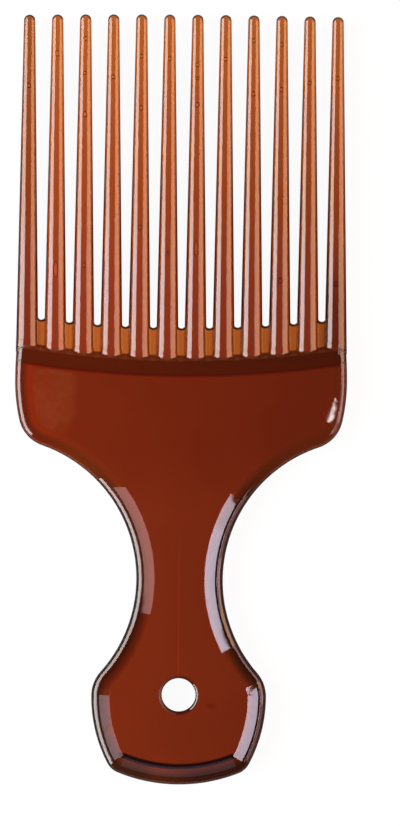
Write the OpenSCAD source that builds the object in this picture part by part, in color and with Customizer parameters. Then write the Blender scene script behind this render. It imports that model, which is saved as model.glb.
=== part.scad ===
/* A clear moulded afro pick: a flat waisted handle with a hang hole and a bevelled
   rim, twelve long tapered teeth in one row, and a thin web between each two tooth feet.
   It lies flat, with its thickness along Z, its middle plane on Z = 0 and its teeth
   pointing to +Y. The hang hole's centre is at the origin. Heights below are measured
   along Y from the butt, or along Z from the middle plane where that is said. */

/* [Overall] */
// Length from the butt to the tooth tips
overall_length = 170; // [165:0.5:178]
// Thickness of the handle over its two flat faces
handle_thickness = 5.4; // [5:0.1:6]

/* [Handle outline] */
// Half the width over the shoulders
shoulder_half = 36.65; // [36.4:0.05:37.6]
// Height of the widest point of the shoulders above the butt
shoulder_y = 89; // [88.4:0.1:90]
// Radius of the side above the widest point
shoulder_top_r = 100; // [80:5:160]
// Radius of the side below the widest point
shoulder_side_r = 39; // [36:0.5:44]
// Radius of the rounded shoulder corner
shoulder_corner_r = 7.8; // [6.5:0.1:10]
// Half the width of the neck
neck_half = 9.55; // [9:0.05:10.5]
// Height of the narrowest point of the neck
neck_y = 45.3; // [44.5:0.1:47]
// Radius of the hollow sides of the neck
neck_r = 31; // [29.5:0.1:32.5]
// Radius that turns from the neck into the butt
neck_to_butt_r = 8.1; // [7:0.1:9]
// Half the width of the butt
butt_half = 19.3; // [18.5:0.05:20.2]
// Height of the widest point of the butt
butt_y = 19.4; // [18.6:0.1:20.2]
// Radius of the tapering sides of the butt
butt_side_r = 31.7; // [29:0.1:35]
// Radius of the two lower corners
butt_corner_r = 4.5; // [4:0.1:5]
// Radius of the rounded end of the butt
butt_end_r = 36; // [33:0.5:40]

/* [Rim] */
// Width of the rounded bead that runs round the edge
bead_width = 1.6; // [1.3:0.05:1.9]
// Height of the top of that bead above the middle plane
bead_height = 1.95; // [1.7:0.05:2.1]
// Width of the flat bevel between the bead and the face
bevel_width = 2.6; // [2.2:0.05:3]

/* [Top edge] */
// Height of the top edge at the middle of the comb
top_edge_y = 94.7; // [94.3:0.1:95.1]
// Radius of the hollow top edge, seen from the front
top_edge_r = 230; // [214:2:250]
// Width of the small round nose of the top edge
nose_width = 1.3; // [1.1:0.05:1.5]
// Height of the top of that nose above the middle plane
nose_height = 2.3; // [2.15:0.05:2.4]
// Width of the slope between the nose and the face
slope_width = 3.35; // [3:0.05:3.7]

/* [Hang hole] */
// Diameter of the hang hole
hole_d = 7.5; // [7:0.1:8.2]
// Height of the hang hole's centre above the butt
hole_y = 19.8; // [19.2:0.1:20.4]
// Width of the small bevel at each end of the hole
hole_bevel = 0.25; // [0.15:0.05:0.35]

/* [Teeth] */
// How far the outer teeth stand inside the widest point of the shoulders
tooth_margin = 0.1; // [0.05:0.05:0.4]
// Width of the gap between two teeth where they leave the top edge
tooth_gap = 1.2; // [1.1:0.05:1.4]
// Width of a tooth just before its round tip
tooth_tip_w = 2.5; // [2.2:0.05:2.8]
// Thickness of a tooth where it leaves the top edge
tooth_root_t = 4.3; // [4:0.05:4.5]
// Thickness of a tooth just before its round tip
tooth_tip_t = 2.5; // [2.3:0.05:2.7]

/* [Webs] */
// Thickness of the web between two tooth feet
web_thickness = 1.8; // [1.4:0.1:2.1]
// Height of the middle web above the top edge
web_height = 6; // [5.6:0.1:6.6]
// Extra height of the webs' hollow line at the outer webs
web_rise = 1.7; // [1.4:0.1:2.1]

/* [Hidden] */

teeth = 12;
half_t = handle_thickness / 2;
// The teeth share the width between the shoulders: their pitch, and their width at the top edge
tooth_pitch = (2 * (shoulder_half - tooth_margin) + tooth_gap) / teeth;
tooth_root_w = tooth_pitch - tooth_gap;

amber = [0.47, 0.15, 0.06];
amber_tooth = [0.62, 0.24, 0.1];
amber_web = [0.77, 0.35, 0.11];

// Where two circles cross, on the side that "turn" picks
function meet(c1, r1, c2, r2, turn) =
    let (
        d = norm(c2 - c1),
        a = (r1 * r1 - r2 * r2 + d * d) / (2 * d),
        h = sqrt(r1 * r1 - a * a),
        u = (c2 - c1) / d
    )
    c1 + a * u + turn * h * [-u[1], u[0]];

function bearing(c, p) = atan2(p[1] - c[1], p[0] - c[0]);
function positive(a) = a < 0 ? a + 360 : a;

// Points on an arc, without its last point
function arc(c, r, a0, a1, n) =
    [for (i = [0:n - 1]) let (a = a0 + (a1 - a0) * i / n) c + r * [cos(a), sin(a)]];

// The right half of the handle's outline: tangent arcs from the middle of the hollow top
// edge out to the shoulder, round its corner, down the hollow neck and round the butt. The
// side is moved inwards by "inset" and the top edge by "drop".
edge_c = [0, top_edge_y + top_edge_r];
above_c = [shoulder_half - shoulder_top_r, shoulder_y];
shoulder_c = [shoulder_half - shoulder_side_r, shoulder_y];
neck_c = [neck_half + neck_r, neck_y];
butt_c = [butt_half - butt_side_r, butt_y];
end_c = [0, butt_end_r];

function right_half(inset, drop) =
    let (
        tr = shoulder_top_r - inset,
        sr = shoulder_side_r - inset,
        cr = shoulder_corner_r - inset,
        nr = neck_r + inset,
        hip = neck_to_butt_r - inset,
        br = butt_side_r - inset,
        kr = max(butt_corner_r - inset, 0.25),
        er = butt_end_r - inset,
        top_corner = meet(edge_c, top_edge_r + drop, above_c, tr, 1),
        corner = meet(shoulder_c, sr - cr, neck_c, nr + cr, 1),
        hip_c = meet(neck_c, nr + hip, butt_c, br - hip, 1),
        knee = meet(butt_c, br - kr, end_c, er - kr, -1),
        t1 = bearing(edge_c, top_corner),
        s0 = bearing(above_c, top_corner),
        a1 = bearing(shoulder_c, corner),
        a2 = bearing(corner, neck_c),
        b0 = positive(bearing(neck_c, corner)),
        b1 = positive(bearing(neck_c, hip_c)),
        h0 = bearing(hip_c, neck_c),
        h1 = bearing(butt_c, hip_c),
        k0 = bearing(butt_c, knee),
        k1 = bearing(end_c, knee)
    )
    concat(
        arc(edge_c, top_edge_r + drop, -90, t1, 8),
        arc(above_c, tr, s0, 0, 3),
        arc(shoulder_c, sr, 0, a1, 4),
        arc(corner, cr, a1, a2, 8),
        arc(neck_c, nr, b0, b1, 20),
        arc(hip_c, hip, h0, h1, 7),
        arc(butt_c, br, h1, k0, 7),
        arc(knee, kr, k0, k1, 4),
        arc(end_c, er, k1, -90, 7),
        [[0, butt_end_r - er]]
    );

// The whole outline, right half and its mirror image
function outline(inset, drop) =
    let (r = right_half(inset, drop), n = len(r))
    concat(r, [for (i = [n - 2:-1:1]) [-r[i][0], r[i][1]]]);

// Levels above the middle plane: up the bead, on up the nose, and the face
steps = 3;
nose_start = asin(bead_height / nose_height);
levels = concat(
    [for (i = [0:steps]) bead_height * sin(90 * i / steps)],
    [for (i = [1:steps]) nose_height * sin(nose_start + (90 - nose_start) * i / steps)],
    [half_t]
);

// How far the side and the top edge lie inside the outline at level z
function rounded(z, w, h) = w * (1 - sqrt(max(0, 1 - pow(z / h, 2))));
function side_inset(z) = z <= bead_height ? rounded(z, bead_width, bead_height)
    : bead_width + bevel_width * (z - bead_height) / (half_t - bead_height);
function edge_drop(z) = z <= nose_height ? rounded(z, nose_width, nose_height)
    : nose_width + slope_width * (z - nose_height) / (half_t - nose_height);

rings = concat([for (i = [len(levels) - 1:-1:1]) -levels[i]], levels);

// A closed skin through rings that all have the same number of points
module loft(sections) {
    n = len(sections[0]);
    m = len(sections);
    points = [for (s = sections) for (p = s) p];
    sides = [for (j = [0:m - 2]) for (i = [0:n - 1]) let (k = (i + 1) % n)
        each [[j * n + i, (j + 1) * n + k, (j + 1) * n + i],
              [j * n + i, j * n + k, (j + 1) * n + k]]];
    polyhedron(
        points,
        concat([[for (i = [n - 1:-1:0]) i]], sides, [[for (i = [0:n - 1]) (m - 1) * n + i]])
    );
}

// Everything on the teeth's side of the handle's top edge: a ring about the top edge's own
// centre, whose outer wall is the nose and the slope
module tooth_side() {
    over = 1.5;
    upper = [for (z = concat([for (i = [0:2 * steps]) levels[i]], [half_t + over]))
        [top_edge_r + edge_drop(z), z]];
    lower = [for (i = [len(upper) - 1:-1:1]) [upper[i][0], -upper[i][1]]];
    inner = top_edge_r - 90;
    translate([0, top_edge_y + top_edge_r, 0])
        rotate([0, 0, 255])
            rotate_extrude(angle = 30, $fn = 360)
                polygon(concat([[inner, -half_t - over]], lower, upper, [[inner, half_t + over]]));
}

// One tooth before its foot is cut: elliptical sections that taper to a round tip
function tooth_x(i) = (i - (teeth + 1) / 2) * tooth_pitch;
tooth_foot_y = top_edge_y - 3;
tip_start = overall_length - tooth_tip_w / 2;
function along(y) = (y - top_edge_y) / (tip_start - top_edge_y);
function tooth_w(y) = tooth_root_w + (tooth_tip_w - tooth_root_w) * along(y);
function tooth_t(y) = tooth_root_t + (tooth_tip_t - tooth_root_t) * along(y);

module tooth_body(i) {
    straight = [for (y = [tooth_foot_y, (tooth_foot_y + tip_start) / 2, tip_start])
        [y, tooth_w(y) / 2, tooth_t(y) / 2]];
    dome = [for (a = [20:20:80]) [
        tip_start + tooth_tip_w / 2 * sin(a) / sin(80),
        tooth_tip_w / 2 * cos(a),
        tooth_tip_t / 2 * cos(a)]];
    translate([tooth_x(i), 0, 0])
        loft([for (s = concat(straight, dome))
            [for (a = [0:20:340]) [s[1] * cos(a), s[0], s[2] * sin(a)]]]);
}

// The hang hole's centre goes to the origin
module placed() translate([0, -hole_y, 0]) children();

module handle() {
    color(amber)
        placed() difference() {
            loft([for (z = rings) [for (p = outline(side_inset(abs(z)), edge_drop(abs(z))))
                [p[0], p[1], z]]]);
            translate([0, hole_y, 0]) cylinder(d = hole_d, h = handle_thickness + 2,
                                               center = true, $fn = 96);
            for (s = [0, 1])
                mirror([0, 0, s])
                    translate([0, hole_y, half_t - hole_bevel])
                        cylinder(d1 = hole_d, d2 = hole_d + 4 * hole_bevel,
                                 h = 2 * hole_bevel, $fn = 96);
        }
}

module tooth(i) {
    color(amber_tooth)
        placed() intersection() {
            tooth_body(i);
            tooth_side();
        }
}

// The webs' tops lie on a hollow line, and each is a round notch
function web_x(i) = (tooth_x(i) + tooth_x(i + 1)) / 2;
function web_top(i) = top_edge_y + web_height + web_rise * pow(web_x(i) / web_x(teeth - 1), 2);
function gap_at(y) = tooth_pitch - tooth_w(y);

module web(i) {
    top = web_top(i);
    notch_r = gap_at(top) / 2 + 0.1;
    color(amber_web)
        placed() intersection() {
            difference() {
                translate([tooth_x(i), tooth_foot_y, -web_thickness / 2])
                    cube([tooth_pitch, top + notch_r - tooth_foot_y, web_thickness]);
                tooth_body(i);
                tooth_body(i + 1);
                translate([web_x(i), top + notch_r, 0])
                    cylinder(r = notch_r, h = web_thickness + 1, center = true, $fn = 48);
            }
            tooth_side();
        }
}

handle();
tooth(1);  // tooth_01
tooth(2);  // tooth_02
tooth(3);  // tooth_03
tooth(4);  // tooth_04
tooth(5);  // tooth_05
tooth(6);  // tooth_06
tooth(7);  // tooth_07
tooth(8);  // tooth_08
tooth(9);  // tooth_09
tooth(10);  // tooth_10
tooth(11);  // tooth_11
tooth(12);  // tooth_12
web(1);  // web_01
web(2);  // web_02
web(3);  // web_03
web(4);  // web_04
web(5);  // web_05
web(6);  // web_06
web(7);  // web_07
web(8);  // web_08
web(9);  // web_09
web(10);  // web_10
web(11);  // web_11
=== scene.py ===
import math

import bmesh
import bpy
from mathutils import Matrix, Vector


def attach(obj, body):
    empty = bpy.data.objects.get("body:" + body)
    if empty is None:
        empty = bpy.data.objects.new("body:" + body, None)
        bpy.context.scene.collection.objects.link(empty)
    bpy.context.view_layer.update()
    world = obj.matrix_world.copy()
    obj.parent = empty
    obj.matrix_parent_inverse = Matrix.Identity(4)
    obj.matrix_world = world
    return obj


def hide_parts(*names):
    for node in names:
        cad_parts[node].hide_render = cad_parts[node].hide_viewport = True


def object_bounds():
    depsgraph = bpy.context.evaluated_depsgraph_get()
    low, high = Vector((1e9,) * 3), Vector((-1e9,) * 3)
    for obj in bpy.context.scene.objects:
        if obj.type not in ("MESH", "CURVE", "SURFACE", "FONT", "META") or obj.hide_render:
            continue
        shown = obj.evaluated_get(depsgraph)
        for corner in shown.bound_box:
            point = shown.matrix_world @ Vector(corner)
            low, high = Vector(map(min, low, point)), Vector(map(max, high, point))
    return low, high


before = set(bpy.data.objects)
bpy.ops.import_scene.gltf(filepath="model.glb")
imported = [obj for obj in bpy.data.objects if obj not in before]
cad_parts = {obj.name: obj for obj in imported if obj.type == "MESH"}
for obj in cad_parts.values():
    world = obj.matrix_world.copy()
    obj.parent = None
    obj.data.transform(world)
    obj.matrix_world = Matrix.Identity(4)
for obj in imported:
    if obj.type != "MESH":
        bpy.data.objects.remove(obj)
cad_low, cad_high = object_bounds()

MM = 0.001

# Sizes in millimetres. The hang hole's centre is at the origin and the middle plane on Z = 0.
# Heights called Y count from the end of the butt.
HOLE_Y, HOLE_R = 19.8, 3.75
LENGTH = 170.0
HALF_T = 2.7

# Handle outline, as tangent arcs: shoulder, neck, hip, butt and end. It starts above the comb's
# edge, which the top cutter then cuts.
SHOULDER_HALF, SHOULDER_Y, SHOULDER_ABOVE = 36.65, 89.0, 13.0
SHOULDER_TOP_R, SHOULDER_SIDE_R, SHOULDER_CORNER_R = 100.0, 39.0, 7.8
NECK_HALF, NECK_Y, NECK_R = 9.55, 45.3, 31.0
HIP_R = 8.1
BUTT_HALF, BUTT_Y, BUTT_SIDE_R = 19.3, 19.4, 31.7
CORNER_R, END_R = 4.5, 36.0

# Rim: a round bead, a narrow level land, a flat bevel, and a small round onto the face
BEAD_W, BEAD_H, BEAD_STEPS = 1.6, 1.95, 10
LAND_W, BEVEL_W = 0.15, 2.6
FACE_ROUND, FACE_ROUND_STEPS = 1.6, 4

# The face sinks on the shoulders, to this share of its height above the bead
THIN_FROM, THIN_TO, THIN_LEFT, THIN_STRIPS = 60.0, 79.0, 0.61, 14

# The comb's hollow top edge with its nose and slope, and the ring that cuts it
EDGE_Y, EDGE_R = 94.7, 230.0
NOSE_W, NOSE_H, NOSE_STEPS, SLOPE_W = 1.3, 2.3, 12, 3.35
SLOPE_END = NOSE_W + SLOPE_W
RING_W, RING_HALF_ANGLE, RING_STEPS, RING_OVER = 70, math.radians(9.5), 60, 0.5

# Teeth: elliptical, tapered, sunk into the plate, with a flare at the root and a round tip.
# The tips stand on a curved line, lowest at the outer teeth.
TEETH, PITCH = 12, 6.1917
ROOT_W, TIP_W, ROOT_T, TIP_T = 4.99, 2.5, 4.3, 2.5
TOOTH_SUNK = 2.0
FLARE, FLARE_UP, FLARE_H = 0.08, 0.1, 0.9
TIP_START, TIP_DROP = LENGTH - TIP_W / 2, 0.28
OUTER_X = (TEETH - 1) / 2 * PITCH
TOOTH_SIDES, FLARE_STEPS, SHAFT_STEPS, TIP_STEPS = 40, 6, 7, 9

# Webs between the teeth's feet, higher at the outer teeth, each with a round notch
WEB_W, WEB_T, WEB_SUNK = PITCH * 0.66, 1.8, 1.2
WEB_H, WEB_RISE = 6.0, 1.7
WEB_OUTER_X = (TEETH - 2) / 2 * PITCH
NOTCH_SPARE = 0.12

# Air bubbles: tooth counted from the left, height of the centre, half length
BUBBLES = [
    (1, 154.1, 0.6), (2, 161.2, 0.7), (3, 164.5, 0.5), (3, 156.9, 0.4), (3, 147.8, 0.7),
    (4, 156.1, 0.5), (5, 160.7, 0.5), (5, 149.3, 0.6), (6, 160.2, 0.5), (7, 158.9, 0.5),
    (7, 155.9, 0.4), (7, 150.05, 0.6), (8, 160.2, 0.5), (9, 164.3, 0.5), (9, 152.6, 0.6),
    (10, 163.5, 0.5), (10, 153.6, 0.6), (11, 155.1, 0.5), (12, 156.1, 0.5), (2, 113.5, 1.9),
    (3, 114.5, 0.6), (5, 122.9, 0.6), (6, 117.3, 0.5), (7, 118.4, 1.8), (10, 111.4, 0.7),
    (12, 110.8, 0.7),
]
BUBBLE_R, LONG_BUBBLE_R = 0.35, 0.45

# Distances in metres within which points are merged, on the outline, the faces and the ring
OUTLINE_SEAM, FACE_SEAM, RING_SEAM = 0.00002, 0.00001, 0.000005
# Spin turns clockwise for a positive angle, and the arcs count theirs the other way
SPIN_SIGN = -1
SMOOTH_ANGLE = math.radians(13)

# Colour of the thinnest plastic, and its absorption: each millimetre absorbs red, green and blue
# by what their values in this colour leave of 1
TINT = (1.0, 0.68, 0.085, 1.0)
ABSORB_COLOUR, ABSORB_DENSITY = (1 - 0.25, 1 - 0.68, 1 - 0.5, 1.0), 1000.0
PLASTIC_IOR = 1.59

# The photograph in pixels: its height, its centre and the end of the butt in it
PHOTO_TALL, PHOTO_CENTRE, PHOTO_BUTT_END = 826, (200, 413), (177.9, 784.5)
PIXEL = 0.2208 * MM

# Camera, floor and lamps, in metres
CAMERA_Z, CAMERA_LEAN, SENSOR = 1.2, math.radians(0.45), 36.0
FLOOR_SIZE, FLOOR_Y, FLOOR_GAP = 3.0, 0.06, 0.0002
WALL_X, CEILING_Z = 0.45, 0.6
WHITE = (1, 1, 1, 1)
LEFT_NECK_PINK, GLINT_ROSE = (1, 0.63, 0.63), (1, 0.88, 0.86)
LEFT_BUTT_LILAC, NAPE_LILAC, NECK_LILAC = (0.95, 0.85, 1), (0.95, 0.88, 1), (0.85, 0.82, 1)
WAIST_LILAC, RIGHT_BUTT_LILAC = (0.85, 0.83, 1), (0.88, 0.82, 1)


def place(x, y, z=0.0):
    """Metres from the hole's centre, for millimetres with the height from the butt's end."""
    return (x * MM, (y - HOLE_Y) * MM, z * MM)


def deselect():
    for o in bpy.context.selected_objects:
        o.select_set(False)


def activate(piece):
    deselect()
    bpy.context.view_layer.objects.active = piece
    piece.select_set(True)


def settle(name):
    """Names the primitive just added and applies its place to its mesh."""
    piece = bpy.context.object
    piece.name = piece.data.name = name
    bpy.ops.object.transform_apply(location=True, rotation=True, scale=True)
    return piece


def edit_all():
    bpy.ops.object.mode_set(mode="EDIT")
    bpy.ops.mesh.select_all(action="SELECT")


def finish_solid():
    """Turns all faces of the mesh in edit mode outwards and leaves edit mode."""
    bpy.ops.mesh.select_all(action="SELECT")
    bpy.ops.mesh.normals_make_consistent(inside=False)
    bpy.ops.object.mode_set(mode="OBJECT")


def mirror(piece, axis, seam):
    """Adds the other half across the plane through the origin."""
    half = piece.modifiers.new("other_half", "MIRROR")
    half.use_axis = [k == axis for k in range(3)]
    half.merge_threshold = seam
    bpy.ops.object.modifier_apply(modifier=half.name)


def combine(piece, other, operation):
    activate(piece)
    step = piece.modifiers.new("join", "BOOLEAN")
    step.operation = operation
    step.solver = "MANIFOLD"
    step.object = other
    bpy.ops.object.modifier_apply(modifier=step.name)
    bpy.data.objects.remove(other, do_unlink=True)


def meet(c1, r1, c2, r2, turn):
    """Where two circles cross, on the side that turn picks."""
    c1, c2 = Vector(c1), Vector(c2)
    d = (c2 - c1).length
    a = (r1 * r1 - r2 * r2 + d * d) / (2 * d)
    h = math.sqrt(r1 * r1 - a * a)
    u = (c2 - c1) / d
    return c1 + a * u + turn * h * Vector((-u.y, u.x))


def bearing(c, p):
    return math.atan2(p[1] - c[1], p[0] - c[0])


def outline_arcs():
    """The right half of the handle as (centre, start angle, end angle, radius, steps)."""
    above = (SHOULDER_HALF - SHOULDER_TOP_R, SHOULDER_Y)
    side = (SHOULDER_HALF - SHOULDER_SIDE_R, SHOULDER_Y)
    neck = (NECK_HALF + NECK_R, NECK_Y)
    butt = (BUTT_HALF - BUTT_SIDE_R, BUTT_Y)
    end = (0.0, END_R)
    corner = meet(side, SHOULDER_SIDE_R - SHOULDER_CORNER_R, neck, NECK_R + SHOULDER_CORNER_R, 1)
    hip = meet(neck, NECK_R + HIP_R, butt, BUTT_SIDE_R - HIP_R, 1)
    knee = meet(butt, BUTT_SIDE_R - CORNER_R, end, END_R - CORNER_R, -1)
    full = 2 * math.pi
    return [
        (above, math.asin(SHOULDER_ABOVE / SHOULDER_TOP_R), 0.0, SHOULDER_TOP_R, 6),
        (side, 0.0, bearing(side, corner), SHOULDER_SIDE_R, 10),
        (corner, bearing(side, corner), bearing(corner, neck), SHOULDER_CORNER_R, 16),
        (neck, bearing(neck, corner) % full, bearing(neck, hip) % full, NECK_R, 48),
        (hip, bearing(hip, neck), bearing(butt, hip), HIP_R, 14),
        (butt, bearing(butt, hip), bearing(butt, knee), BUTT_SIDE_R, 14),
        (knee, bearing(butt, knee), bearing(end, knee), CORNER_R, 12),
        (end, bearing(end, knee), -math.pi / 2, END_R, 14),
    ]


def rim_profile():
    """(inset, height) from the middle plane up over the rim to the face."""
    profile = [(0.0, 0.0)]
    tilt = math.atan2(HALF_T - BEAD_H, BEVEL_W)
    land = BEAD_H + LAND_W * math.tan(tilt)
    for i in range(1, BEAD_STEPS + 1):
        a = math.pi / 2 * i / BEAD_STEPS
        profile.append((BEAD_W * (1 - math.cos(a)), land * math.sin(a)))
    profile.append((BEAD_W + LAND_W, land))
    centre = BEAD_W + BEVEL_W + FACE_ROUND * math.tan(tilt / 2)
    for i in range(FACE_ROUND_STEPS + 1):
        a = tilt * (1 - i / FACE_ROUND_STEPS)
        profile.append((centre - FACE_ROUND * math.sin(a), HALF_T - FACE_ROUND * (1 - math.cos(a))))
    return profile


def make_handle():
    """Outline drawn by spinning a point round each arc, then inset up the rim."""
    arcs = outline_arcs()
    (x, y), start, _, r, _ = arcs[0]
    deselect()
    bpy.ops.mesh.primitive_plane_add(
        size=MM, location=place(x + r * math.cos(start), y + r * math.sin(start)))
    handle = settle("handle_blank")
    edit_all()
    # The plane shrinks to the one point that draws the outline
    bpy.ops.mesh.merge(type="CENTER")
    for centre, start, stop, _, steps in arcs:
        bpy.ops.mesh.spin(steps=steps, angle=SPIN_SIGN * (stop - start), center=place(*centre),
                          axis=(0, 0, 1))
    bpy.ops.mesh.select_all(action="SELECT")
    bpy.ops.mesh.remove_doubles(threshold=OUTLINE_SEAM)
    bpy.ops.object.mode_set(mode="OBJECT")
    mirror(handle, 0, OUTLINE_SEAM)
    edit_all()
    bpy.ops.mesh.edge_face_add()
    mesh = bmesh.from_edit_mesh(handle.data)
    mesh.faces.ensure_lookup_table()
    if mesh.faces[0].normal.z < 0:
        bpy.ops.mesh.flip_normals()
    profile = rim_profile()
    for (w0, h0), (w1, h1) in zip(profile, profile[1:]):
        bpy.ops.mesh.inset(thickness=(w1 - w0) * MM, depth=(h1 - h0) * MM, use_even_offset=True,
                           use_relative_offset=False, use_boundary=True)
    bpy.ops.object.mode_set(mode="OBJECT")
    mirror(handle, 2, FACE_SEAM)
    return handle


def both_faces(upper):
    """A profile of (radius, height) that starts on the middle plane, with its lower half."""
    return [(r, -z) for r, z in reversed(upper[1:])] + upper


def make_top_cutter():
    """Ring on the teeth's side of the top edge, spun from the profile of the nose and slope."""
    turn = math.atan(NOSE_H * SLOPE_W / NOSE_W / (HALF_T - NOSE_H))
    upper = [(EDGE_R + NOSE_W * (1 - math.cos(turn * i / NOSE_STEPS)),
              NOSE_H * math.sin(turn * i / NOSE_STEPS)) for i in range(NOSE_STEPS + 1)]
    upper.append((EDGE_R + NOSE_W + SLOPE_W * (1 + RING_OVER / (HALF_T - NOSE_H)),
                  HALF_T + RING_OVER))
    inner, top = EDGE_R - RING_W, HALF_T + RING_OVER
    profile = [(inner, -top)] + both_faces(upper) + [(inner, top)]
    middle = EDGE_Y + EDGE_R
    deselect()
    bpy.ops.mesh.primitive_circle_add(vertices=len(profile), radius=MM, fill_type="NGON",
                                      location=(0, 0, 0))
    cutter = settle("top_cutter")
    edit_all()
    mesh = bmesh.from_edit_mesh(cutter.data)
    mesh.verts.ensure_lookup_table()
    for v, (r, z) in zip(mesh.verts, profile):
        v.co = place(r * math.sin(-RING_HALF_ANGLE), middle - r * math.cos(RING_HALF_ANGLE), z)
    bmesh.update_edit_mesh(cutter.data)
    bpy.ops.mesh.spin(steps=RING_STEPS, angle=SPIN_SIGN * 2 * RING_HALF_ANGLE,
                      center=place(0, middle), axis=(0, 0, 1))
    bpy.ops.mesh.select_all(action="SELECT")
    bpy.ops.mesh.remove_doubles(threshold=RING_SEAM)
    finish_solid()
    return cutter


def make_bore_cutter(name, x, y, radius, half_height, rim, steps, lip, over, sides):
    """Upright spool that cuts a round bore with a small round at each rim, and ends in a lip."""
    upper = [(radius, 0.0)]
    for i in range(steps + 1):
        a = math.pi / 2 * i / steps
        upper.append((radius + rim * (1 - math.cos(a)), half_height - rim + rim * math.sin(a)))
    upper.append((radius + rim + lip, half_height + over))
    (r0, z0), *rings = both_faces(upper)
    deselect()
    bpy.ops.mesh.primitive_circle_add(vertices=sides, radius=r0 * MM, fill_type="NGON",
                                      location=place(x, y, z0))
    cutter = settle(name)
    edit_all()
    for r1, z1 in rings:
        bpy.ops.mesh.extrude_region_move(TRANSFORM_OT_translate={"value": (0, 0, (z1 - z0) * MM)})
        bpy.ops.transform.resize(value=(r1 / r0, r1 / r0, 1), center_override=place(x, y, z1))
        r0, z0 = r1, z1
    finish_solid()
    return cutter


def tooth_x(i):
    return (i - (TEETH - 1) / 2) * PITCH


def edge_y(x):
    return EDGE_Y + EDGE_R - math.sqrt(EDGE_R ** 2 - x ** 2)


def tooth_size(y):
    """Width and thickness of a tooth at height y, without the flare and the tip."""
    t = (y - EDGE_Y) / (TIP_START - EDGE_Y)
    return (ROOT_W + (TIP_W - ROOT_W) * t, ROOT_T + (TIP_T - ROOT_T) * t)


NOTCH_R = (PITCH - tooth_size(EDGE_Y + WEB_H)[0]) / 2 + NOTCH_SPARE


def tooth_sections(x):
    """(height, width, thickness) from the foot over the flare and the shaft to the round tip."""
    root = edge_y(x) + FLARE_UP
    w, t = tooth_size(root)
    sections = [(edge_y(x) - TOOTH_SUNK, w + 2 * FLARE, t + FLARE)]
    for k in range(FLARE_STEPS + 1):
        a = math.pi / 2 * k / FLARE_STEPS
        y = root + FLARE_H * math.sin(a)
        w, t = tooth_size(y)
        grow = 2 * FLARE * (1 - math.sin(a))
        sections.append((y, w + grow, t + grow * 0.5))
    tip = TIP_START - TIP_DROP * (x / OUTER_X) ** 2
    for k in range(1, SHAFT_STEPS + 1):
        y = root + FLARE_H + (tip - root - FLARE_H) * k / SHAFT_STEPS
        sections.append((y, *tooth_size(y)))
    w, t = tooth_size(tip)
    for k in range(1, TIP_STEPS):
        a = math.pi / 2 * k / TIP_STEPS
        sections.append((tip + w / 2 * math.sin(a), w * math.cos(a), t * math.cos(a)))
    return sections


def straighten_flank(tooth, x, side):
    """An outer tooth's outer flank runs straight down into the shoulder, without a flare."""
    for v in bmesh.from_edit_mesh(tooth.data).verts:
        y = v.co.y / MM + HOLE_Y
        flank = x + side * tooth_size(y)[0] / 2
        if y < edge_y(x) + FLARE_UP + FLARE_H and side * (v.co.x / MM - flank) > 0:
            v.co.x = flank * MM
    bmesh.update_edit_mesh(tooth.data)


def make_tooth(i):
    """An ellipse extruded from section to section of the tooth."""
    x = tooth_x(i)
    (y0, w0, t0), *sections = tooth_sections(x)
    deselect()
    bpy.ops.mesh.primitive_circle_add(vertices=TOOTH_SIDES, radius=0.5 * MM, fill_type="NGON",
                                      location=place(x, y0), rotation=(math.pi / 2, 0, 0))
    tooth = settle(f"tooth_blank_{i:02d}")
    edit_all()
    bpy.ops.transform.resize(value=(w0, 1, t0), center_override=place(x, y0))
    for y, w, t in sections:
        bpy.ops.mesh.extrude_region_move(TRANSFORM_OT_translate={"value": (0, (y - y0) * MM, 0)})
        bpy.ops.transform.resize(value=(w / w0, 1, t / t0), center_override=place(x, y))
        y0, w0, t0 = y, w, t
    if i in (0, TEETH - 1):
        straighten_flank(tooth, x, -1 if i == 0 else 1)
    finish_solid()
    return tooth


def make_web(i):
    """Thin plate between two tooth feet with a round notch at its top."""
    x = (tooth_x(i) + tooth_x(i + 1)) / 2
    foot = edge_y(x) - WEB_SUNK
    top = EDGE_Y + WEB_H + WEB_RISE * (x / WEB_OUTER_X) ** 2
    notch_y = top + NOTCH_R
    deselect()
    bpy.ops.mesh.primitive_cube_add(size=1, location=place(x, (foot + top + NOTCH_R) / 2),
                                    scale=(WEB_W * MM, (notch_y - foot) * MM, WEB_T * MM))
    web = settle(f"web_blank_{i:02d}")
    notch = make_bore_cutter("notch_cutter", x, notch_y, NOTCH_R, WEB_T / 2,
                             rim=0.35, steps=4, lip=0.2, over=0.4, sides=48)
    combine(web, notch, "DIFFERENCE")
    return web


def make_bubble(number, y, half):
    """A small cavity in the middle of a tooth: its faces look inwards."""
    r = BUBBLE_R if half < 1 else LONG_BUBBLE_R
    deselect()
    bpy.ops.mesh.primitive_uv_sphere_add(segments=24, ring_count=16, radius=MM,
                                         location=place(tooth_x(number - 1), y), scale=(r, half, r))
    bubble = settle(f"bubble_{number:02d}")
    edit_all()
    bpy.ops.mesh.flip_normals()
    bpy.ops.object.mode_set(mode="OBJECT")
    return bubble


def thin_at(y):
    """How much of the height above the bead is left at height y."""
    t = min(max((y - THIN_FROM) / (THIN_TO - THIN_FROM), 0.0), 1.0)
    return 1 - (1 - THIN_LEFT) * t * t * (3 - 2 * t)


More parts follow.
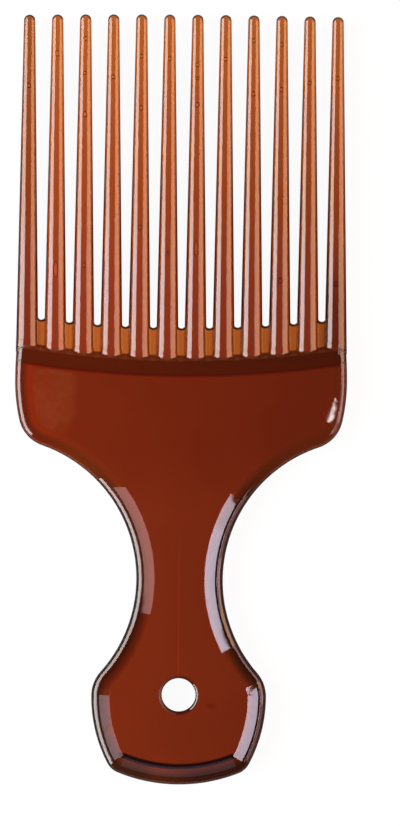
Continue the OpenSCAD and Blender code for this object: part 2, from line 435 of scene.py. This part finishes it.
def thin_shoulders(handle):
    """Sinks the faces towards the comb, in strips cut across them."""
    activate(handle)
    bpy.ops.object.mode_set(mode="EDIT")
    for k in range(THIN_STRIPS + 1):
        y = THIN_FROM + (THIN_TO - THIN_FROM) * k / THIN_STRIPS
        bpy.ops.mesh.select_all(action="SELECT")
        bpy.ops.mesh.bisect(plane_co=place(0, y), plane_no=(0, 1, 0))
    for v in bmesh.from_edit_mesh(handle.data).verts:
        z = v.co.z / MM
        if abs(z) > BEAD_H:
            left = (abs(z) - BEAD_H) * thin_at(v.co.y / MM + HOLE_Y)
            v.co.z = math.copysign(BEAD_H + left, z) * MM
    bmesh.update_edit_mesh(handle.data)
    bpy.ops.object.mode_set(mode="OBJECT")


def make_moulding():
    """The whole pick as one closed skin, because it is one piece of clear plastic."""
    handle = make_handle()
    combine(handle, make_top_cutter(), "DIFFERENCE")
    thin_shoulders(handle)
    hole = make_bore_cutter("hole_cutter", 0.0, HOLE_Y, HOLE_R, HALF_T,
                            rim=0.75, steps=8, lip=0.3, over=0.5, sides=96)
    combine(handle, hole, "DIFFERENCE")
    for i in range(TEETH - 1):
        combine(handle, make_web(i), "UNION")
    for i in range(TEETH):
        combine(handle, make_tooth(i), "UNION")
    bubbles = [make_bubble(*bubble) for bubble in BUBBLES]
    activate(handle)
    for bubble in bubbles:
        bubble.select_set(True)
    bpy.ops.object.join()
    # No point of the butt's end lies outside the CAD model's box
    for v in handle.data.vertices:
        v.co.y = max(v.co.y, cad_low[1])
    handle.name = handle.data.name = "moulding"
    bpy.ops.object.shade_smooth_by_angle(angle=SMOOTH_ANGLE)
    flat = handle.modifiers.new("flat_faces", "WEIGHTED_NORMAL")
    flat.mode, flat.weight, flat.keep_sharp = "FACE_AREA", 100, True
    bpy.ops.object.modifier_apply(modifier=flat.name)
    return handle


class Wire:
    """A shader socket that takes part in Python arithmetic."""

    def __init__(self, nodes, socket):
        self.nodes, self.socket = nodes, socket

    def _math(self, operation, a, b=None):
        values = {0: a} if b is None else {0: a, 1: b}
        return self.nodes.add("ShaderNodeMath", {"operation": operation}, values)

    def __add__(self, other):
        return self._math("ADD", self, other)

    __radd__ = __add__

    def __sub__(self, other):
        return self._math("SUBTRACT", self, other)

    def __rsub__(self, other):
        return self._math("SUBTRACT", other, self)

    def __mul__(self, other):
        return self._math("MULTIPLY", self, other)

    __rmul__ = __mul__

    def __truediv__(self, other):
        return self._math("DIVIDE", self, other)

    def __abs__(self):
        return self._math("ABSOLUTE", self)

    def maximum(self, other):
        return self._math("MAXIMUM", self, other)

    def fraction(self):
        return self._math("FRACT", self)

    def squared(self):
        return self * self

    def root(self):
        return self._math("SQRT", self)

    def ramp(self, start, stop, low=0.0, high=1.0):
        """Smooth step from low to high while the value goes from start to stop."""
        return self.nodes.add("ShaderNodeMapRange", {"interpolation_type": "SMOOTHSTEP"},
                              {0: self, 1: start, 2: stop, 3: low, 4: high})

    def fade(self, start, stop):
        """Smooth step from 1 down to 0 while the value goes from start to stop."""
        return self.ramp(start, stop, 1.0, 0.0)

    def between(self, start, full, ebb, stop):
        """1 from full to ebb, with a smooth step on either side."""
        return self.ramp(start, full) * (1.0 - self.ramp(ebb, stop))

    def multiplied_where(self, amount, colour):
        """This colour, multiplied by another one where the amount is 1, for painted light and shade
        as well as tone.
        """
        settings = {"data_type": "RGBA", "blend_type": "MULTIPLY", "clamp_factor": True}
        values = {0: amount, 6: self, 7: (*colour, 1.0)}
        return self.nodes.add("ShaderNodeMix", settings, values, out=2)


class Nodes:
    """Adds nodes to the emptied tree of a material or of the world."""

    def __init__(self, owner):
        owner.use_nodes = True
        self.tree = owner.node_tree
        self.tree.nodes.clear()

    def add(self, kind, settings=None, values=None, out=0):
        """A new node: its settings are set first, then the values or links of its sockets."""
        node = self.tree.nodes.new(kind)
        for key, value in (settings or {}).items():
            setattr(node, key, value)
        for key, value in (values or {}).items():
            if isinstance(value, Wire):
                self.tree.links.new(value.socket, node.inputs[key])
            else:
                node.inputs[key].default_value = value
        return Wire(self, node.outputs[out]) if len(node.outputs) else None

    def colour(self, value):
        wire = self.add("ShaderNodeRGB")
        wire.socket.default_value = value
        return wire

    def axes(self, vector):
        """The three coordinates of a vector."""
        node = self.add("ShaderNodeSeparateXYZ", {}, {0: vector}).socket.node
        return [Wire(self, output) for output in node.outputs]

    def noise(self, at, scale, detail):
        values = {"Vector": at, "Scale": scale, "Detail": detail}
        return self.add("ShaderNodeTexNoise", {}, values)

    def ray(self, kind):
        return self.add("ShaderNodeLightPath", out=f"Is {kind} Ray")


def distance(a, b):
    return (a.squared() + b.squared()).root()


class Spot:
    """Where a point of the moulding lies: millimetres from the hole, and shares from 0 to 1."""

    def __init__(self, n, at):
        x, y, z = (axis * 1000.0 for axis in n.axes(at))
        z = abs(z)
        self.x, self.y, self.z = x, y, z
        # Depth below the comb's hollow top edge: plate is 1 below it, and comb is 1 above it
        self.depth = x.squared() * (0.5 / EDGE_R) + (EDGE_Y - HOLE_Y) - y
        self.plate = self.depth.ramp(0.2, 0.9)
        self.comb = 1.0 - self.plate
        # Height of the face above the bead: 1 where the bevel ends
        thin = y.ramp(THIN_FROM - HOLE_Y, THIN_TO - HOLE_Y, 1.0, THIN_LEFT)
        self.rise = (z - BEAD_H) / (thin * (HALF_T - BEAD_H))
        self.shoulder = y.ramp(38.0, 58.0)
        self.right = x.ramp(-6.0, 6.0)
        # Distance from the centre of the butt's end arc
        self.away = distance(y - (END_R - HOLE_Y), x)
        # Across a tooth from its middle line, also as a share of its half width
        narrowing = (TIP_W - ROOT_W) / (TIP_START - EDGE_Y) / 2
        half = (y - (EDGE_Y - HOLE_Y)) * narrowing + ROOT_W / 2
        self.across = ((x / PITCH).fraction() - 0.5) * PITCH
        self.flank = self.across / half
        # Height above the curved line on which the round tips start
        self.tip = y - (TIP_START - HOLE_Y) + x.squared() * (TIP_DROP / OUTER_X ** 2)


# Each function below gives pairs of painted light, shade or tone: how much of it a point gets, and
# its colour

def painted_shade_and_tone(s):
    """Painted shade, darker to the right; darker on the two outer teeth; then the tone of the comb,
    shoulders and neck.
    """
    x, y = s.x, s.y
    return [
        (x.ramp(-40.0, 40.0) * y.ramp(95.0, 150.0, 1.0, 0.45), (0.66, 0.64, 0.64)),
        (x.ramp(-30.0, -32.0) * s.comb, (0.72, 0.72, 0.8)),
        (x.ramp(30.0, 32.0) * y.fade(84.0, 104.0) * s.comb, (0.6, 0.6, 0.7)),
        (s.comb, (0.95, 1.0, 1.0)),
        (s.plate * s.shoulder, (0.78, 0.88, 0.5)),
        (s.plate * (1.0 - s.shoulder), (1.02, 1.65, 0.95)),
    ]


def rim_painted_light_and_shade(s):
    """Painted shade on the rim, darker than the plate, more on the right and less on the shoulders,
    with a painted dark line inside the right bevel, painted light on the bead's outer part and
    painted shade on the bevel at the butt's end.
    """
    rim = s.rise.fade(0.0, 0.85) * s.plate * (1.0 - s.shoulder * 0.65)
    crest = s.rise.fade(0.45, 1.05) * s.right * s.plate * (1.0 - s.shoulder * 0.8)
    bead = s.z.ramp(1.75, 1.35) * s.plate * (1.0 - s.right * s.shoulder)
    end = s.away.ramp(32.3, 32.6) * s.rise.ramp(0.3, 0.8) * s.y.ramp(-12.0, -12.6)
    return [
        (rim, (0.25, 0.2, 0.22)),
        (crest, (0.5, 0.5, 0.5)),
        (bead, (2.6, 1.6, 1.6)),
        (end, (0.78, 0.85, 0.8)),
    ]


def left_shoulder_painted_light_and_shade(s):
    """Painted light on the left shoulder, which is redder: its face and the upper part of its
    bevel, with painted shade at the foot of that.
    """
    left = s.x.fade(-36.0, -18.0) * s.shoulder * s.plate \
        * s.depth.ramp(SLOPE_END - 0.2, SLOPE_END + 0.4)
    return [
        (left, (1.12, 0.88, 0.85)),
        (left * s.rise.ramp(0.25, 0.7) * s.rise.ramp(1.02, 0.9), (1.2, 1.05, 1.0)),
        (left * s.rise.fade(0.0, 0.6), (0.66, 0.58, 0.75)),
    ]


def hip_painted_shade(s):
    """Painted shade left of the middle: the hip's bevel is redder, and the butt's is darker."""
    hip = s.x.ramp(-4.0, -8.0) * s.rise.fade(0.75, 0.95) * s.y.ramp(26.0, 17.0)
    return [
        (hip * s.y.ramp(0.0, 2.0), (0.62, 0.42, 0.35)),
        (hip * s.y.ramp(2.0, 0.0), (0.62, 0.8, 1.1)),
    ]


def top_edge_painted_shade_and_reflection(s):
    """Painted shade on the slope and its lower edge, a painted reflection on the lighter nose, and
    painted shade in the crease at the teeth's feet.
    """
    band = s.depth.between(0.9, 1.5, SLOPE_END - 0.35, SLOPE_END)
    edge = s.depth.between(SLOPE_END - 0.6, SLOPE_END - 0.2, SLOPE_END + 0.05, SLOPE_END + 0.35)
    nose = s.depth.between(0.4, 0.7, 0.9, 1.5)
    crease = s.depth.between(-0.25, 0.1, 0.4, 0.7) * abs(s.flank).ramp(0.85, 1.0)
    return [
        (band, (0.5, 0.47, 0.25)),
        (edge, (0.8, 0.5, 0.35)),
        (nose, (0.9, 1.4, 2.6)),
        (nose * abs(s.flank).ramp(0.9, 1.15), (1.35, 2.7, 5.6)),
        (crease, (0.45, 0.4, 0.4)),
    ]


def butt_painted_shade_line(s):
    """Painted shade: a dark line where the bevel at the butt's end meets the face."""
    line = s.away.between(31.3, 31.55, 32.1, 32.35) * s.y.fade(-12.6, -12.0)
    return [(line * s.z.ramp(HALF_T - 0.2, HALF_T - 0.12), (0.06, 0.08, 0.15))]


def tooth_painted_shade(s):
    """Painted shade: a line left of the middle, both flanks darker at their edges, and the dark cap
    of the round tip.
    """
    line = s.flank.ramp(-0.8, -0.92) * s.flank.ramp(-1.05, -1.0)
    cap = distance(s.tip, s.across).ramp(0.7, 0.95) * s.tip.ramp(-0.1, 0.3)
    return [
        (line * s.comb, (0.6, 0.45, 0.45)),
        (abs(s.flank).ramp(0.98, 1.02) * s.comb, (0.92, 0.64, 0.63)),
        (cap, (0.04, 0.03, 0.03)),
    ]


def notch_painted_shade(s):
    """Painted shade: a dark rim under each notch, deepest where it meets the teeth."""
    level = s.y + HOLE_Y - (EDGE_Y + WEB_H + NOTCH_R) \
        - s.x.squared() * (WEB_RISE / WEB_OUTER_X ** 2)
    beside = ((s.x / PITCH + 0.5).fraction() - 0.5) * PITCH
    notch = distance(level, beside).fade(NOTCH_R + 0.35, NOTCH_R + 0.6) * level.fade(0.2, 0.5) \
        * s.z.fade(WEB_T / 2 + 0.1, WEB_T / 2 + 0.3)
    return [(notch, (0.09, 0.06, 0.06))]


def bubble_highlight_and_knit_line(s):
    """The bubbles' walls get a painted highlight, and a pale knit line runs up the middle of the
    neck.
    """
    air = s.comb * s.z.fade(0.6, 0.8) * abs(s.flank).fade(0.45, 0.55)
    knit = abs(s.x + 0.1).fade(0.05, 0.22) * s.y.fade(30.0, 36.0) * s.y.ramp(0.0, 2.0)
    return [(air, (1.3, 1.6, 13.0)), (knit, (1.2, 1.35, 1.5))]


def patches(s, cloud):
    """A painted reflection as a pale cloudy patch on the left shoulder, and a darker spot below the
    hang hole.
    """
    spread = ((s.x + 28.2).squared() / 32.0 + (s.y - 66.5).squared() / 110.0).fade(0.2, 1.2)
    spread = spread * s.plate * s.rise.ramp(0.9, 1.0) * s.depth.ramp(SLOPE_END, SLOPE_END + 1.0)
    darker_spot = ((s.x - 7.2).squared() * 0.4 + (s.y + 2.4).squared()).fade(0.05, 0.8)
    return [
        (spread * (cloud.ramp(0.42, 0.55) * 0.6 + 0.5), (1.2, 2.2, 3.2)),
        (darker_spot, (0.86, 0.78, 0.8)),
    ]


def corner_gap_shade(s):
    """Painted shade of a fine gap where the outer flank ends, and of another where the bead begins.
    """
    out = abs(s.x)
    flank_end = abs(s.depth - out * 0.75 + 25.25).fade(0.12, 0.26) * out.ramp(34.3, 34.8) \
        * (1.0 - s.depth.ramp(2.2, 2.6))
    bead_start = abs(s.depth - 4.1).fade(0.12, 0.26) * out.ramp(35.2, 35.6)
    return flank_end + bead_start


def amber_plastic():
    """Clear amber, deeper in colour where it is thick, with painted light and shade, a knit line,
    waves and scuffs.
    """
    material = bpy.data.materials.new("amber_plastic")
    n = Nodes(material)
    at = n.add("ShaderNodeTexCoord", out="Object")
    waves, cloud, scuffs = n.noise(at, 55.0, 1.0), n.noise(at, 260.0, 2.0), n.noise(at, 900.0, 3.0)
    s = Spot(n, at)
    gap = corner_gap_shade(s)
    # Painted shade: a darker ring round the hang hole
    hole = distance(s.x, s.y).fade(HOLE_R + 0.45, HOLE_R + 0.75)
    # Painted light and shade, with the plastic's own tone and knit line, each an amount and a
    # colour that multiplies
    painted_light_and_tone = [
        *painted_shade_and_tone(s), *rim_painted_light_and_shade(s), *left_shoulder_painted_light_and_shade(s), *hip_painted_shade(s),
        (waves.ramp(0.45, 0.62) * s.plate, (0.96, 0.95, 0.95)),
        *top_edge_painted_shade_and_reflection(s), *butt_painted_shade_line(s), *tooth_painted_shade(s), *notch_painted_shade(s),
        *bubble_highlight_and_knit_line(s), *patches(s, cloud),
        (gap, (0.2, 0.15, 0.2)), (hole, (0.3, 0.22, 0.25)),
    ]
    colour = n.colour(TINT)
    for amount, mark_colour in painted_light_and_tone:
        colour = colour.multiplied_where(amount, mark_colour)
    relief = n.add("ShaderNodeBump", {}, {"Height": waves, "Strength": 0.05, "Distance": 0.00015})
    shader = n.add("ShaderNodeBsdfPrincipled", {}, {
        "Base Color": colour,
        "Roughness": scuffs * 0.03 + 0.01 + gap * 0.5 + hole * s.x.fade(-1.0, 0.0) * 0.5,
        "IOR": PLASTIC_IOR,
        "Transmission Weight": 1.0,
        "Normal": relief,
    })
    inside = n.add("ShaderNodeVolumeAbsorption", {},
                   {"Color": ABSORB_COLOUR, "Density": ABSORB_DENSITY})
    n.add("ShaderNodeOutputMaterial", {}, {"Surface": shader, "Volume": inside})
    return material


def white_floor():
    """Matt paper that shows as white to the camera and through the plastic."""
    material = bpy.data.materials.new("white_floor")
    n = Nodes(material)
    seen = n.ray("Camera").maximum(n.ray("Transmission"))
    # Light meets pale paper, and the plastic mirrors it darker
    paint = n.add("ShaderNodeBsdfDiffuse", {}, {"Color": 0.8 - 0.6 * n.ray("Glossy")})
    # What is seen is almost all glow, and the rest takes the shadow: together they are white
    glow = n.add("ShaderNodeEmission", {}, {"Color": WHITE, "Strength": 0.95})
    shadow = n.add("ShaderNodeBsdfDiffuse", {}, {"Color": (0.05, 0.05, 0.05, 1.0)})
    lit = n.add("ShaderNodeAddShader", {}, {0: glow, 1: shadow})
    mixed = n.add("ShaderNodeMixShader", {}, {0: seen, 1: paint, 2: lit})
    n.add("ShaderNodeOutputMaterial", {}, {"Surface": mixed})
    return material


def make_floor():
    deselect()
    bpy.ops.mesh.primitive_plane_add(size=FLOOR_SIZE,
                                     location=(0, FLOOR_Y, -HALF_T * MM - FLOOR_GAP))
    floor = settle("floor")
    floor.data.materials.append(white_floor())


def make_camera():
    """Straight above, turned a little so that the comb leans as it does in the photograph."""
    right = PHOTO_CENTRE[0] - PHOTO_BUTT_END[0]
    up = PHOTO_BUTT_END[1] - PHOTO_CENTRE[1]
    cos, sin = math.cos(CAMERA_LEAN), math.sin(CAMERA_LEAN)
    lens = bpy.data.cameras.new("camera")
    lens.sensor_width = SENSOR
    lens.lens = SENSOR * CAMERA_Z / (PHOTO_TALL * PIXEL)
    lens.clip_start, lens.clip_end = 0.01, 10
    camera = bpy.data.objects.new("camera", lens)
    bpy.context.scene.collection.objects.link(camera)
    camera.location = ((right * cos - up * sin) * PIXEL,
                       (right * sin + up * cos) * PIXEL - HOLE_Y * MM, CAMERA_Z)
    camera.rotation_euler = (0, 0, CAMERA_LEAN)
    bpy.context.scene.camera = camera


def softbox(name, centre, across, up, size, radiance, colour, through=False):
    """Rectangular lamp of an even brightness, given by its centre and its two directions."""
    light = bpy.data.lights.new(name, "AREA")
    light.shape = "RECTANGLE"
    light.size, light.size_y = size
    light.energy = radiance * math.pi * size[0] * size[1]
    light.color = colour
    lamp = bpy.data.objects.new(name, light)
    bpy.context.scene.collection.objects.link(lamp)
    across, up = Vector(across).normalized(), Vector(up).normalized()
    back = across.cross(up)
    lamp.matrix_world = Matrix((across, up, back)).transposed().to_4x4()
    lamp.location = centre
    lamp.visible_camera = False
    lamp.visible_transmission = through


def wall(name, side, y, z, size, radiance, colour, through=False):
    """Upright softbox on the left (side -1) or the right (side 1), facing the part."""
    softbox(name, (side * WALL_X, y, z), (0, side, 0), (0, 0, 1), size, radiance, colour, through)


def ceiling(name, x, y, size, radiance, colour):
    """Softbox above that faces down."""
    softbox(name, (x, y, CEILING_Z), (1, 0, 0), (0, 1, 0), size, radiance, colour)


def slanted(name, start, stop, width, radiance, colour):
    """Ceiling lamp given by the two ends of its outer edge and its width inwards."""
    a, b = Vector(start), Vector(stop)
    along = (b - a).normalized()
    outward = Vector((along.y, -along.x))
    centre = (a + b) / 2 - outward * width / 2
    softbox(name, (*centre, CEILING_Z), (*outward, 0), (*along, 0), (abs(width), (b - a).length),
            radiance, colour)


def make_room():
    """White where the camera sees it, and dim for light and reflections."""
    world = bpy.data.worlds.new("room")
    bpy.context.scene.world = world
    n = Nodes(world)
    through = n.ray("Transmission")
    low = n.axes(n.add("ShaderNodeTexCoord", out="Generated"))[2].fade(0.02, 0.15)
    seen = n.ray("Camera").maximum(through * low)
    white = n.add("ShaderNodeBackground", {}, {"Color": WHITE, "Strength": 1.0})
    # Through the plastic the room is less dim, and white only where it stands low
    dim = n.add("ShaderNodeBackground", {}, {"Color": WHITE, "Strength": 0.045 + 0.25 * through})
    mixed = n.add("ShaderNodeMixShader", {}, {0: seen, 1: dim, 2: white})
    n.add("ShaderNodeOutputWorld", {}, {"Surface": mixed})


def make_lamps():
    """Each lamp stands where the plastic mirrors it as a highlight of the photograph."""
    # Upright, on the left for the teeth's wide highlight and on the right for the warm one
    wall("left_low", -1, -0.12, 0.285, (0.5, 0.57), 8.0, WHITE[:3], through=True)
    wall("left_top", -1, 0.32, 0.285, (0.38, 0.57), 7.8, (1, 0.88, 0.78), through=True)
    wall("left_mid", -1, 0.128, 0.635, (0.056, 0.13), 6.5, (1, 0.9, 0.86))
    wall("right_comb", 1, 0.15, 0.3575, (0.12, 0.675), 5.8, (1, 0.54, 0.31))
    wall("right_far", 1, 0.33, 0.29, (0.24, 0.4), 3.5, (1, 0.6, 0.6))
    wall("right_low", 1, 0.02, 0.24, (0.14, 0.38), 5.5, (1, 0.58, 0.52))
    wall("right_end", 1, -0.16, 0.24, (0.22, 0.38), 2.2, (1, 0.55, 0.5))
    # Overhead, each placed for the bevel that shows it
    ceiling("left_neck", -0.35825, -0.07, (0.0725, 0.18), 3.1, LEFT_NECK_PINK)
    slanted("left_waist", (-0.3945, 0.02), (-0.382, 0.075), -0.06, 3.1, LEFT_NECK_PINK)
    ceiling("left_nape", -0.309, -0.1625, (0.026, 0.035), 3.1, LEFT_NECK_PINK)
    ceiling("left_butt", -0.4125, -0.135, (0.035, 0.23), 2.3, LEFT_BUTT_LILAC)
    ceiling("left_heel", -0.3585, -0.205, (0.073, 0.09), 2.3, LEFT_BUTT_LILAC)
    ceiling("right_nape", 0.317, -0.1401, (0.01, 0.0192), 6.8, NAPE_LILAC)
    ceiling("right_scruff", 0.35475, -0.12835, (0.0655, 0.0427), 6.8, NAPE_LILAC)
    ceiling("right_neck", 0.35475, -0.037, (0.0655, 0.14), 8.8, NECK_LILAC)
    slanted("right_waist", (0.391, 0.033), (0.3715, 0.099), 0.045, 8.8, WAIST_LILAC)
    slanted("right_loin", (0.3715, 0.099), (0.3482, 0.151), 0.03, 8.8, WAIST_LILAC)
    slanted("right_hip", (0.4174, 0.0), (0.3964, 0.1), 0.02, 8, RIGHT_BUTT_LILAC)
    ceiling("right_butt", 0.4035, -0.125, (0.032, 0.25), 8, RIGHT_BUTT_LILAC)
    ceiling("right_heel", 0.36675, -0.19985, (0.0415, 0.1003), 8, RIGHT_BUTT_LILAC)
    # Four that meet end to end make the three-cornered glint on the right shoulder
    glint = ((0.2423, -0.0216), (0.2502, 0.0), (0.2555, 0.0214), (0.2565, 0.035), (0.2567, 0.0475))
    bright = ((0.003, 15.5), (0.0045, 15.5), (0.0034, 13), (0.0014, 13))
    for k, (width, radiance) in enumerate(bright):
        slanted(f"right_glint_{k + 1}", glint[k], glint[k + 1], width, radiance, GLINT_ROSE)
    ceiling("front_high", 0.0, -0.44, (0.34, 0.08), 0.42, (0.55, 0.7, 1))


bpy.context.scene.view_settings.view_transform = "Standard"
moulding = make_moulding()
moulding.data.materials.clear()
moulding.data.materials.append(amber_plastic())
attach(moulding, "root")
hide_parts("handle", *[f"tooth_{i:02d}" for i in range(1, 13)],
            *[f"web_{i:02d}" for i in range(1, 12)])
make_floor()
make_camera()
make_room()
make_lamps()
